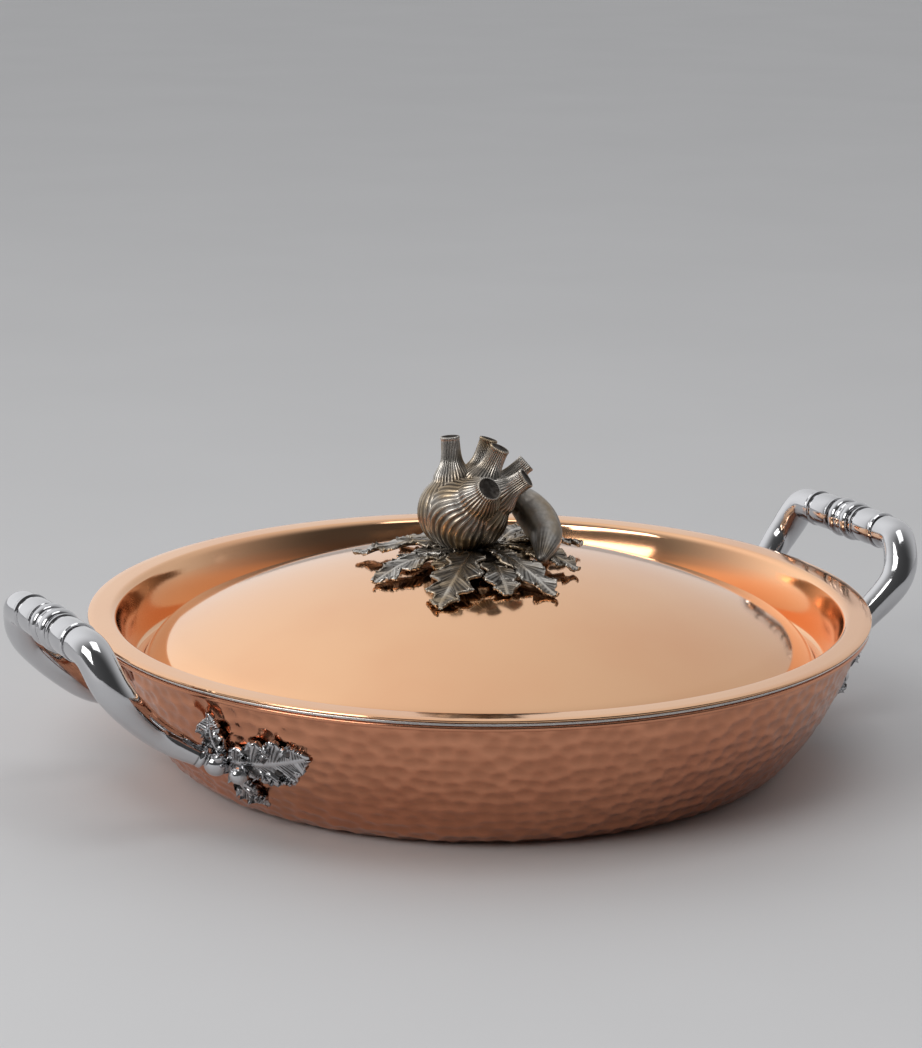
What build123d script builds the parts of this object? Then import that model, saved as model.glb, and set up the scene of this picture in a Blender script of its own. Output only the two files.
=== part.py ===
"""Hammered copper serving pan with two bowed handles and a lid with a vegetable knob.

The origin is the middle of the base on the table, +Z is up and +X runs along the handles.
"""

import os
from math import acos, asin, atan2, cos, hypot, pi, radians, sin, sqrt

from build123d import *

os.makedirs("parts", exist_ok=True)

# Pan body, millimetres. The wall is one long arc that meets the flat base through a corner arc.
pan_height = 55.2
wall_top_radius = 146.8
wall_flare = 37.8
base_radius = wall_top_radius - wall_flare
corner_radius = 17.5
wall_radius = 115.0
copper = 1.6
lining = 0.6
lip_width = 2.6
lip_radius = wall_top_radius + lip_width
lip_thickness = 2.4
lip_rounding = 0.7

# Lid: flat flange, groove that drops into the pan, shoulder and a broad shallow dome.
lid_overhang = 0.6
lid_radius = lip_radius + lid_overhang
lid_copper = 1.0
lid_lining = 0.7
seat_gap = 0.3
flange_width = 8.0
flange_turn = 3.0
groove_radius = 2.9
groove_depth = 21.5
dome_crown = 18.8
dome_fall = 25.0
dome_to_edge = 34.4
dome_reach = lid_radius - dome_to_edge
dome_radius = (dome_reach**2 + dome_fall**2) / (2 * dome_fall)
shoulder_radius = 28.0

# Handles: a turned grip between two tapering arms.
grip_out = 24.9
grip_up = 13.8
grip_length = 45.0
grip_radius = 7.0
bead_radius = 8.0
tenon_radius = 3.0
tenon_length = 8.0
arm_thick = 13.4
arm_waist = 11.8
arm_neck = 9.6
arm_thin = 6.4
elbow_out = 17.6
elbow_in = 6.0
elbow_drop = 15.5
foot_angle = 18.5
foot_drop = 27.2
foot_height = pan_height - foot_drop
ball_radius = 4.6
ball_lift = 3.7
grip_step = 0.8
grip_ring = 1.6
bead_length = 4.6
collar_length = 1.8

# Cast leaves and berries at each foot, held by rivets through the wall.
spray_thickness = 3.2
large_leaf_length = 40.0
large_leaf_width = 19.0
small_leaf_length = 24.0
low_leaf_length = 21.0
small_leaf_width = 11.0
bead_lift = 8.0
small_bead_radius = 1.7
berry_radius = 3.4
berry_angle = 5.2
shank_radius = 2.0
rivet_head_radius = 4.2
rivet_head_height = 1.8
rivet_seat = 0.1
fit_gap = 0.05
touch_gap = 0.04
bar_steps = 3

# Knob: leaf rosette, fennel bulb and a long vegetable beside it, on one stud.
knob_turn = -30.0
plate_radius = 17.0
plate_height = 3.0
leaf_thickness = 1.6
lower_leaf_lift = 0.5
leaf_overlap = 6.0
leaf_arch = 2.6
leaf_fall = 2.2
leaf_cutter = 30.0
bulb_radius = 17.6
bulb_x = -6.4
bulb_y = 2.0
bulb_squash = 0.95
bulb_sink = 0.8
stud_radius = 3.0
stud_in_bulb = 12.0
stud_end_room = 0.5
washer_radius = 7.0
washer_thickness = 1.2
nut_flats = 10.0
nut_height = 5.0
stud_past_nut = 1.5

rim_z = pan_height + seat_gap + lid_copper + lid_lining
dome_top = rim_z + dome_crown
lid_sheet = lid_copper + lid_lining
pan_sheet = copper + lining

# The plans of leaves, stalks and marrow below are drawn for a bulb of this radius.
knob_scale = bulb_radius / 17.6


def export(shape, name):
    """Writes one node's solid or group of solids."""
    export_step(shape, f"parts/{name}.step")


def crossing(centre_a, radius_a, centre_b, radius_b):
    """The crossing of two circles that lies nearer the axis."""
    dx, dz = centre_b[0] - centre_a[0], centre_b[1] - centre_a[1]
    gap = hypot(dx, dz)
    along = (radius_a**2 - radius_b**2 + gap**2) / (2 * gap)
    off = sqrt(radius_a**2 - along**2)
    points = [
        (centre_a[0] + (along * dx + s * off * dz) / gap, centre_a[1] + (along * dz - s * off * dx) / gap)
        for s in (-1, 1)
    ]
    return min(points)


corner_centre = (base_radius, corner_radius)
wall_centre = crossing((wall_top_radius, pan_height), wall_radius, corner_centre, wall_radius - corner_radius)


def wall_at(z, inset=0.0):
    """Radius of the wall at a height, inset into the metal from the outside."""
    return wall_centre[0] + sqrt((wall_radius - inset) ** 2 - (wall_centre[1] - z) ** 2)


def bowl_edges(inset, top):
    """Half section of the bowl's surface at an inset: base, corner arc and wall arc up to a height."""
    join = atan2(corner_centre[1] - wall_centre[1], corner_centre[0] - wall_centre[0])
    low = (corner_centre[0], inset)
    radius = corner_radius - inset
    high = (corner_centre[0] + radius * cos(join), corner_centre[1] + radius * sin(join))
    half = (join - pi / 2) / 2
    middle = (corner_centre[0] + radius * cos(half), corner_centre[1] + radius * sin(half))
    end = (wall_at(top, inset), top)
    swing = (join + atan2(top - wall_centre[1], end[0] - wall_centre[0])) / 2
    reach = wall_radius - inset
    between = (wall_centre[0] + reach * cos(swing), wall_centre[1] + reach * sin(swing))
    edges = [
        Line((0, inset), low),
        ThreePointArc(low, middle, high),
        ThreePointArc(high, between, end),
    ]
    return edges, end


def turned(edges):
    """Solid turned about Z from a closed half section given as radius and height."""
    return revolve(Plane.XZ * make_face(edges), Axis.Z)


def filled(edges, end):
    """Everything inside a bowl surface, closed across at its top."""
    return turned(edges + [Line(end, (0, end[1])), Line((0, end[1]), edges[0] @ 0)])


def bowl(inset, top):
    """Solid that fills the bowl's surface at an inset."""
    return filled(*bowl_edges(inset, top))


def make_pan():
    """Copper wall with its turned-out lip, and the bright lining bonded inside it."""
    copper_top = pan_height - lining
    under_lip = pan_height - lip_thickness
    lip = Pos(0, 0, under_lip) * Cylinder(
        lip_radius, copper_top - under_lip, align=(Align.CENTER, Align.CENTER, Align.MIN)
    )
    lip = fillet(lip.edges(), lip_rounding)
    shell = bowl(0, copper_top) + lip - bowl(copper, copper_top)
    cover = Pos(0, 0, copper_top) * Cylinder(
        lip_radius - lip_rounding, lining, align=(Align.CENTER, Align.CENTER, Align.MIN)
    )
    skin = bowl(copper, copper_top) + cover - bowl(pan_sheet, pan_height)
    inner_edge = skin.edges().filter_by(GeomType.CIRCLE).filter_by_position(Axis.Z, pan_height - 0.01, pan_height + 0.01)
    skin = fillet(inner_edge.sort_by(SortBy.RADIUS)[0], lining * 0.8)
    return shell, skin


def lid_edges(depth):
    """Half section of the lid's sheet at a depth under its polished face, from the flange inwards."""
    cap = (0, dome_top - dome_radius)
    lean = asin(dome_reach / dome_radius)
    inner = dome_radius - shoulder_radius
    shoulder = (inner * sin(lean), cap[1] + inner * cos(lean))
    groove_z = rim_z - groove_depth + groove_radius
    side = acos((groove_z - shoulder[1]) / (shoulder_radius + groove_radius))
    groove = (shoulder[0] + (shoulder_radius + groove_radius) * sin(side), groove_z)
    turn = (lid_radius - flange_width, rim_z - flange_turn)
    dx, dz = turn[0] - groove[0], turn[1] - groove[1]
    slope = acos((flange_turn + groove_radius) / hypot(dx, dz)) - atan2(dz, dx)

    def arc(centre, radius, start, stop):
        """Arc by angles from straight up, turning towards the outside."""
        angles = (start, (start + stop) / 2, stop)
        return ThreePointArc(*[(centre[0] + radius * sin(a), centre[1] + radius * cos(a)) for a in angles])

    # The wall leans back by the slope, so its face looks inwards and up.
    wall_look = slope - pi / 2
    groove_outer = groove_radius + depth
    edges = [
        arc(cap, dome_radius - depth, 0, lean),
        arc(shoulder, shoulder_radius - depth, lean, side),
        arc(groove, groove_outer, side + pi, wall_look + pi),
        arc(turn, flange_turn - depth, wall_look, 0),
    ]
    edges.insert(3, Line(edges[2] @ 1, edges[3] @ 0))
    edges.append(Line(edges[4] @ 1, (lid_radius, rim_z - depth)))
    return edges


def lid_layer(upper, lower):
    """Sheet between two depths under the lid's face, with the stud's hole."""
    top, bottom = lid_edges(upper), lid_edges(lower)
    sheet = turned(top + bottom + [Line(top[0] @ 0, bottom[0] @ 0), Line(top[-1] @ 1, bottom[-1] @ 1)])
    return sheet - Pos(0, 0, dome_top) * Cylinder(stud_radius + fit_gap, 4 * lid_sheet)


def round_bar(points, radii, start_look, end_look):
    """Bar of round section whose radius changes from point to point along a smooth path."""
    path = Spline(*points, tangents=(start_look, end_look))
    steps = bar_steps * (len(points) - 1)
    sections = []
    for step in range(steps + 1):
        share = step / steps
        place = share * (len(radii) - 1)
        low = min(int(place), len(radii) - 2)
        radius = radii[low] + (radii[low + 1] - radii[low]) * (place - low)
        look = path % share
        side = (Vector(1, 0, 0) - look * look.X).normalized()
        sections.append(Plane(origin=path @ share, x_dir=side, z_dir=look) * Circle(radius))
    return loft(sections, ruled=True)


grip_centre = (lid_radius + grip_out, 0, rim_z + grip_up)
foot_wall = wall_at(foot_height)


def on_wall(angle, height, out):
    """Point off the wall by a distance along its slope's normal, at an angle round the pan."""
    tilt = atan2(height - wall_centre[1], wall_at(height) - wall_centre[0])
    radius = wall_at(height) + out * cos(tilt)
    turn = radians(angle)
    return Vector(radius * cos(turn), radius * sin(turn), height + out * sin(tilt))


def wall_plane(angle, height):
    """Plane that lies on the wall and looks outwards."""
    out = on_wall(angle, height, 1) - on_wall(angle, height, 0)
    side = Vector(-sin(radians(angle)), cos(radians(angle)), 0)
    return Plane(origin=on_wall(angle, height, 0), x_dir=side, z_dir=out)


def rivet_hole(angle, height):
    """Hole for a rivet's shank through wall and lining."""
    return wall_plane(angle, height) * Cylinder(shank_radius + fit_gap, 6 * pan_sheet)


def make_arm(end_of_bow):
    """One arm of the right bow, at its +Y end (1) or -Y end (-1), from tenon to the ball on the wall."""
    x, _, z = grip_centre
    end = grip_length / 2 + touch_gap
    ball = on_wall(foot_angle, foot_height, ball_lift)
    path = [
        (x, end, z),
        (x - elbow_in * 0.1, end + elbow_out * 0.62, z - elbow_drop * 0.12),
        (x - elbow_in, end + elbow_out, z - elbow_drop),
        (x - (x - ball.X) * 0.55, end + elbow_out * 0.86, z - (z - ball.Z) * 0.74),
        (ball.X, ball.Y, ball.Z),
    ]
    points = [(px, py * end_of_bow, pz) for px, py, pz in path]
    radii = [thick / 2 for thick in (arm_thick, arm_thick, arm_waist, arm_neck, arm_thin)]
    look_in = (Vector(*points[4]) - Vector(*points[3])).normalized()
    bar = round_bar(points, radii, (0, end_of_bow, 0), look_in)
    tenon = Pos(x, points[0][1] - end_of_bow * tenon_length / 2, z) * Rot(90, 0, 0)
    arm = bar + tenon * Cylinder(tenon_radius, tenon_length + 1)
    arm += Plane(origin=points[4], z_dir=look_in) * Sphere(ball_radius)
    arm -= bowl(-touch_gap, pan_height)
    blind = Pos(0, 0, ball_radius * 0.4) * Cylinder(shank_radius + fit_gap, ball_radius * 1.4)
    return arm - wall_plane(foot_angle * end_of_bow, foot_height) * blind


def make_grip():
    """Turned grip: end rings, two barrels, steps and two beads on either side of a middle ring."""
    low, high = grip_radius - grip_step, grip_radius + grip_step / 3
    half = [
        (grip_ring, grip_radius, grip_radius, grip_radius),
        (bead_length, grip_radius, bead_radius, grip_radius),
        (grip_ring, low, low, low),
        (grip_ring * 0.75, high, high, high),
    ]
    used = sum(part[0] for part in half)
    barrel = grip_length / 2 - used - collar_length
    half.append((barrel, low + grip_step / 4, grip_radius + grip_step / 8, low + grip_step / 3))
    half.append((collar_length, high, high, high))
    edges = []
    at, last = 0.0, None
    for length, first, middle, end in half:
        if last is not None and last != (first, at):
            edges.append(Line(last, (first, at)))
        if first == middle == end:
            edges.append(Line((first, at), (end, at + length)))
        else:
            edges.append(ThreePointArc((first, at), (middle, at + length / 2), (end, at + length)))
        at += length
        last = (end, at)
    bore = tenon_radius + fit_gap
    edges += [Line(last, (bore, at)), Line((bore, at), (bore, 0)), Line((bore, 0), (half[0][1], 0))]
    side = turned(edges)
    return Pos(*grip_centre) * Rot(90, 0, 0) * (side + mirror(side, Plane.XY))


def leaf_face(length, width, teeth):
    """Pointed leaf outline along +X from its root, with teeth along both sides."""
    side = []
    for i in range(1, 2 * teeth):
        share = i / (2 * teeth)
        half = width / 2 * sin(pi * share**0.8) ** 0.8 * (1 if i % 2 else 0.74)
        side.append((length * (share + (0.03 if i % 2 else 0)), half))
    root = width * 0.14
    outline = [(0, root)] + side + [(length, 0)] + [(x, -y) for x, y in reversed(side)] + [(0, -root)]
    return make_face(Polyline(*outline, close=True))


def make_spray():
    """Three cast leaves that hug the wall beside a foot, with a small bead on top."""
    band = bowl(-spray_thickness, pan_height) - bowl(-touch_gap, pan_height)
    middle = foot_angle + berry_angle * 0.35
    spray = None
    plan = (
        (large_leaf_length, large_leaf_width, 8),
        (small_leaf_length, small_leaf_width, -58),
        (low_leaf_length, small_leaf_width, 62),
    )
    for length, width, turn in plan:
        flat = Rot(0, 0, turn) * leaf_face(length, width, 4)
        solid = extrude(wall_plane(middle, foot_height) * flat, 4 * spray_thickness, both=True) & band
        spray = solid if spray is None else spray + solid
    bead = Pos(on_wall(foot_angle + 4.0, foot_height + bead_lift, spray_thickness)) * Sphere(small_bead_radius)
    spray = spray + (bead - bowl(-touch_gap, pan_height))
    spray -= Pos(on_wall(foot_angle, foot_height, ball_lift)) * Sphere(ball_radius + touch_gap)
    spray -= make_arm(1)
    spray -= rivet_hole(foot_angle + berry_angle, foot_height)
    return spray


def rivet_head(angle, height):
    """Rounded rivet head on the lining inside the pan."""
    head = Cylinder(rivet_head_radius, rivet_head_height)
    head = fillet(head.faces().sort_by(Axis.Z)[0].edges(), rivet_head_height * 0.7)
    seat = -(pan_sheet + rivet_seat + rivet_head_height / 2)
    return wall_plane(angle, height) * Pos(0, 0, seat) * head


def shank(angle, height, outer):
    """Straight shank from the inner head to a height above the wall."""
    inner = -(pan_sheet + rivet_seat + rivet_head_height / 2)
    length = outer - inner
    return wall_plane(angle, height) * Pos(0, 0, inner + length / 2) * Cylinder(shank_radius, length)


def make_arm_rivet():
    """Rivet from inside the pan into an arm's ball."""
    return rivet_head(foot_angle, foot_height) + shank(foot_angle, foot_height, ball_radius)


def make_berry_rivet():
    """Rivet whose outer head is a round berry that holds the leaves."""
    angle = foot_angle + berry_angle
    berry = Pos(on_wall(angle, foot_height, spray_thickness + touch_gap + berry_radius * 0.75)) * Sphere(berry_radius)
    berry -= bowl(-(spray_thickness + touch_gap), pan_height)
    return rivet_head(angle, foot_height) + shank(angle, foot_height, spray_thickness + berry_radius) + berry


def four_ways(shape):
    """The same piece at the four feet, by side and by end of the bow."""
    back = shape
    front = mirror(shape, Plane.XZ)
    return {
        "right_back": back,
        "right_front": front,
        "left_front": Rot(0, 0, 180) * back,
        "left_back": Rot(0, 0, 180) * front,
    }


def knob_frame(shape):
    """Places a piece of the knob, made round the stud with heights from the dome's top."""
    return Pos(0, 0, dome_top) * Rot(0, 0, knob_turn) * shape


def dome_ball(lift):
    """The dome's sphere, raised a little, in the knob's own frame."""
    return Pos(0, 0, -dome_radius) * Sphere(dome_radius + lift)


def leaf_band(root_z, reach):
    """Turned strip that arches up from the plate and falls again towards the tips."""
    middle = (plate_radius + reach) / 2
    drop = reach**2 / (2 * dome_radius)
    low = [(plate_radius * 0.5, root_z), (middle, root_z + leaf_arch), (reach, root_z - drop + leaf_fall)]
    high = [(r, z + leaf_thickness) for r, z in low]
    edges = [
        ThreePointArc(*low),
        Line(low[2], high[2]),
        ThreePointArc(*high),
        Line(high[0], low[0]),
    ]
    return turned(edges)


# Each leaf of the rosette: its angle round the stud, reach, width and whether it is an upper one.
leaf_plan = [
    (166, 50, 15, True),
    (216, 49, 15, False),
    (255, 58, 19, True),
    (283, 47, 14, False),
    (303, 52, 12, True),
    (338, 40, 14, False),
    (30, 45, 15, True),
    (62, 44, 14, False),
    (98, 46, 15, True),
    (134, 46, 15, False),
]

# Stalks of the fennel: foot and cut end from the bulb's middle, and the two radii.
stalk_plan = [
    ((-4.5, 1.5, 12.5), (-5.6, 2.5, 27.0), 4.4, 3.2),
    ((1.5, 3.0, 11.0), (9.3, 5.0, 25.6), 4.4, 3.1),
    ((5.0, 0.0, 10.0), (13.6, -1.0, 23.4), 4.6, 3.5),
    ((10.0, 2.5, 6.5), (23.6, 5.0, 16.4), 4.2, 3.3),
    ((10.0, -3.0, 5.0), (23.4, -5.0, 12.8), 4.4, 3.5),
    ((5.5, -7.5, 4.0), (9.4, -14.5, 10.6), 5.0, 4.2),
]

# The long vegetable's path round the bulb, from its stem end to its tail, with its radii.
marrow_path = [
    (10.5, 13.5, 26.5),
    (14.0, 12.5, 21.5),
    (19.0, 10.5, 16.5),
    (23.0, 5.0, 12.5),
    (25.0, -3.0, 9.0),
    (25.0, -12.0, 7.0),
]
marrow_radii = [2.4, 6.0, 8.0, 8.0, 5.6, 2.2]


def make_plate():
    """Round plate under the bulb that sits on the dome."""
    plate = Cylinder(plate_radius, plate_height + 1, align=(Align.CENTER, Align.CENTER, Align.MIN))
    plate = Pos(0, 0, -1) * plate - dome_ball(touch_gap)
    return knob_frame(plate - Cylinder(stud_radius + fit_gap, 4 * plate_height))


def make_leaves():
    """Leaves of the rosette: the lower ones meet the plate's edge, the upper ones lie on it."""
    edge = Cylinder(plate_radius + touch_gap, 20 * plate_height)
    leaves = []
    for angle, length, breadth, on_top in leaf_plan:
        reach, width = length * knob_scale, breadth * knob_scale
        root = plate_height + touch_gap if on_top else lower_leaf_lift
        start = plate_radius - leaf_overlap
        flat = Rot(0, 0, angle) * Pos(start, 0, 0) * leaf_face(reach - start, width, 5)
        leaf = extrude(flat, leaf_cutter, both=True) & leaf_band(root, reach)
        leaves.append(leaf if on_top else leaf - edge)
    return leaves


def make_bulb(others):
    """Fennel bulb with overlapping sheaths and six cut stalks, over the stud."""
    middle = Vector(bulb_x, bulb_y, plate_height + bulb_radius * bulb_squash - bulb_sink)
    bulb = scale(Sphere(bulb_radius), (1, bulb_squash, bulb_squash))
    for foot_place, tip_place, wide, narrow in stalk_plan:
        foot, tip = Vector(*foot_place) * knob_scale, Vector(*tip_place) * knob_scale
        way = tip - foot
        sections = [
            Plane(origin=foot * 0.55, z_dir=way) * Circle(wide * knob_scale * 1.9),
            Plane(origin=foot, z_dir=way) * Circle(wide * knob_scale),
            Plane(origin=tip, z_dir=way) * Circle(narrow * knob_scale),
        ]
        bulb += loft(sections)
    bulb = Pos(middle) * bulb
    under = Cylinder(4 * bulb_radius, 2 * bulb_radius, align=(Align.CENTER, Align.CENTER, Align.MAX))
    bulb -= Pos(0, 0, plate_height + touch_gap) * under
    bulb -= Cylinder(stud_radius + fit_gap, 2 * (plate_height + stud_in_bulb + stud_end_room))
    for other in others:
        bulb -= other
    return bulb


def make_marrow(others):
    """Long smooth vegetable that leans on the bulb and lies on the leaves."""
    path = [Vector(*place) * knob_scale for place in marrow_path]
    radii = [radius * knob_scale for radius in marrow_radii]
    marrow = round_bar(path, radii, (path[1] - path[0]).normalized(), (path[-1] - path[-2]).normalized())
    for other in others:
        marrow -= other
    return marrow


def make_stud():
    """Stud from inside the bulb down through plate, lid, washer and nut."""
    low = -(lid_sheet + washer_thickness + nut_height + stud_past_nut)
    high = plate_height + stud_in_bulb
    return Pos(0, 0, (low + high) / 2) * Cylinder(stud_radius, high - low)


def make_washer():
    """Flat washer under the lid."""
    ring = Cylinder(washer_radius, washer_thickness) - Cylinder(stud_radius + fit_gap, 2 * washer_thickness)
    return Pos(0, 0, -(lid_sheet + washer_thickness / 2 + 2 * fit_gap)) * ring


def make_nut():
    """Hexagonal nut under the washer."""
    sides = extrude(RegularPolygon(nut_flats / 2, 6, major_radius=False), nut_height / 2, both=True)
    nut = sides - Cylinder(stud_radius + fit_gap, 2 * nut_height)
    return Pos(0, 0, -(lid_sheet + washer_thickness + nut_height / 2 + 3 * fit_gap)) * nut


def main():
    """Makes every piece and writes its file."""
    shell, skin = make_pan()
    spray = make_spray()
    arm_rivet, berry_rivet = four_ways(make_arm_rivet()), four_ways(make_berry_rivet())
    holes = four_ways(rivet_hole(foot_angle, foot_height) + rivet_hole(foot_angle + berry_angle, foot_height))
    for hole in holes.values():
        shell -= hole
        skin -= hole
    export(shell, "pan_shell")
    export(skin, "pan_lining")
    for end_of_bow, end_name, far_name in ((1, "back", "front"), (-1, "front", "back")):
        arm = make_arm(end_of_bow)
        export(arm, f"handle_arm_right_{end_name}")
        export(Rot(0, 0, 180) * arm, f"handle_arm_left_{far_name}")
    for place, piece in four_ways(spray).items():
        export(piece, f"foot_leaves_{place}")
    grip = make_grip()
    export(grip, "handle_grip_right")
    export(Rot(0, 0, 180) * grip, "handle_grip_left")
    export(Compound(children=[p.solid() for p in arm_rivet.values()]), "arm_rivets")
    export(Compound(children=[p.solid() for p in berry_rivet.values()]), "berry_rivets")

    export(lid_layer(0, lid_copper), "lid_shell")
    export(lid_layer(lid_copper, lid_sheet), "lid_lining")
    export(make_plate(), "knob_plate")
    leaves = make_leaves()
    for number, leaf in enumerate(leaves, 1):
        export(knob_frame(leaf), f"knob_leaf_{number:02d}")
    bulb = make_bulb(leaves)
    export(knob_frame(bulb), "knob_fennel")
    export(knob_frame(make_marrow(leaves + [bulb])), "knob_marrow")
    export(knob_frame(make_stud()), "knob_stud")
    export(knob_frame(make_washer()), "knob_washer")
    export(knob_frame(make_nut()), "knob_nut")


main()
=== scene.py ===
"""Copper serving pan: the detailed pieces, finishes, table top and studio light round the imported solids."""

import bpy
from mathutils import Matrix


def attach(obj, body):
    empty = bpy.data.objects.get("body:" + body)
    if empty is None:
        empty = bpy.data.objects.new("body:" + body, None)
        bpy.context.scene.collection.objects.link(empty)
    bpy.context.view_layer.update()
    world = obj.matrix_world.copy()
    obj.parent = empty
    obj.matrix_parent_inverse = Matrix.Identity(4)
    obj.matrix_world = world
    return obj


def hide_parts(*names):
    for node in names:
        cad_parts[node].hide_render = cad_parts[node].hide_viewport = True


bl_info = {
    "name": "Copper serving pan",
    "version": (1, 0, 0),
    "blender": (4, 5, 0),
    "location": "3D View > Sidebar > Serving pan",
    "description": "Adds a hammered copper pan with a domed lid and a vegetable knob",
    "category": "Add Mesh",
}

from contextlib import contextmanager
from math import acos, asin, atan2, cos, hypot, pi, radians, sin, sqrt

import bpy
import numpy as np
from bpy.props import FloatProperty, FloatVectorProperty, IntProperty, PointerProperty
from mathutils import Matrix, Vector

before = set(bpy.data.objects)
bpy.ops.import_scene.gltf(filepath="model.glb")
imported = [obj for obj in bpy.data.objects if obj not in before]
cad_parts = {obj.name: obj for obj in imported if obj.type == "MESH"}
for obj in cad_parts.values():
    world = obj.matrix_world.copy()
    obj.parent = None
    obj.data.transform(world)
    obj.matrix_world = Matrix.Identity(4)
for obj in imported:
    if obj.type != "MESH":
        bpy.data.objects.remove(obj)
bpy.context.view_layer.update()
MM = 0.001
FULL_TURN = 2 * pi

# Pan and lid, in millimetres like the solids.
PAN_HEIGHT = 55.2
BASE_RADIUS = 109.0
CORNER_RADIUS = 17.5
WALL_RADIUS = 115.0
WALL_TOP_RADIUS = 146.8
COPPER = 1.6
LINING = 0.6
PAN_SHEET = COPPER + LINING
LIP_RADIUS = 149.4
LIP_THICKNESS = 2.4
LIP_ROUNDING = 0.7
LID_RADIUS = 150.0
LID_COPPER = 1.0
LID_SHEET = 1.7
RIM_Z = PAN_HEIGHT + 0.3 + LID_SHEET
FLANGE_WIDTH = 8.0
FLANGE_TURN = 3.0
GROOVE_RADIUS = 2.9
GROOVE_DEPTH = 21.5
DOME_CROWN = 18.8
DOME_REACH = 115.6
DOME_FALL = 25.0
DOME_RADIUS = (DOME_REACH**2 + DOME_FALL**2) / (2 * DOME_FALL)
SHOULDER_RADIUS = 28.0
DOME_TOP = RIM_Z + DOME_CROWN
STUD_RADIUS = 3.0

# Handles and feet.
GRIP_OUT = 24.9
GRIP_UP = 13.8
GRIP_LENGTH = 45.0
GRIP_RADIUS = 7.0
BEAD_RADIUS = 8.0
ELBOW_OUT = 17.6
ELBOW_IN = 6.0
ELBOW_DROP = 15.5
FOOT_ANGLE = 18.5
FOOT_HEIGHT = 28.0
BALL_RADIUS = 4.6
BERRY_ANGLE = 5.2
BERRY_RADIUS = 3.4
BERRY_COVER = 0.15
SPRAY_THICKNESS = 3.2

# Knob, turned as the solids are.
KNOB_TURN = radians(-30)
CAD_LEAVES = 10

# The photograph's camera: focal length and optical axis in its pixels, distance in rim radii.
PHOTO_WIDTH = 922
PHOTO_HEIGHT = 1048
FOCAL_PIXELS = 3150.0
AXIS_X = 479.94
AXIS_Y = 604.19
CAMERA_AWAY = 8.088
CAMERA_RAISE = 0.26719
CAMERA_TURN = radians(-29.8)
CAMERA_ROLL = 0.0083
FILM = 36.0

# Colours that the finishes mix with the ones a user sets.
RED_CLOUD = (0.84, 0.40, 0.22)
HEAT_STAIN = (0.50, 0.19, 0.11)
LINING_LIGHT = (0.80, 0.79, 0.77)
LINING_DARK = (0.68, 0.68, 0.68)
# Painted shade for the grooves and joints of the polished handles.
GROOVE_PAINTED_SHADE = (0.10, 0.095, 0.09)
VEIN_BLACK = (0.045, 0.04, 0.038)
AGED_BRONZE = (0.40, 0.31, 0.21)
AGED_BLACK = (0.040, 0.034, 0.030)
FITTING_LIGHT = (0.62, 0.62, 0.62)
FITTING_DARK = (0.50, 0.50, 0.51)
LAMP_WARM = (1.0, 0.99, 0.97)
SKY = (0.985, 0.99, 1.0, 1.0)


def measure(name, description, default, least):
    """A plain number that a user can change."""
    return FloatProperty(name=name, description=description, default=default, min=least)


def steps_round(name, description, default):
    """A count of steps that a user can change."""
    return IntProperty(name=name, description=description, default=default, min=64)


def tint(name, description, default):
    """A colour that a user can change."""
    return FloatVectorProperty(name=name, description=description, subtype="COLOR", size=3, default=default)


class PanSizes(bpy.types.PropertyGroup):
    """Sizes and colours that a user would change."""

    hammer_row: measure("Hammer row", "Height of a row of marks", 5.1, 2)
    hammer_width: measure("Hammer width", "Width of one mark", 6.7, 2)
    hammer_depth: measure("Hammer depth", "Depth of one mark", 0.55, 0)
    wall_steps: steps_round("Wall steps", "Steps round the hammered wall", 760)
    lid_steps: steps_round("Lid steps", "Steps round the lid", 288)
    copper: tint("Copper", "Polished copper of the lid", (0.93, 0.55, 0.32))
    # The wall's copper is set darker than the lid's as a painted reflection of a dark table top below the
    # wall.
    wall_copper_painted_reflection: tint("Wall copper", "Hammered copper", (0.64, 0.285, 0.165))
    steel: tint("Steel", "Polished steel of the handles", (0.62, 0.62, 0.635))
    silver: tint("Silver", "Rubbed silver of the knob", (0.56, 0.53, 0.49))
    floor: tint("Floor", "Table top and backdrop", (0.66, 0.66, 0.67))


class Value:
    """A socket that adds Math nodes when it is used in an expression."""

    def __init__(self, tree, socket):
        self.tree = tree
        self.socket = socket

    def _math(self, operation, first, second=0.0):
        made = self.tree.nodes.new("ShaderNodeMath")
        made.operation = operation
        for port, value in zip(made.inputs, (first, second)):
            if isinstance(value, Value):
                self.tree.links.new(value.socket, port)
            else:
                port.default_value = value
        return Value(self.tree, made.outputs[0])

    def __add__(self, other):
        return self._math("ADD", self, other)

    def __sub__(self, other):
        return self._math("SUBTRACT", self, other)

    def __mul__(self, other):
        return self._math("MULTIPLY", self, other)


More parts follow.
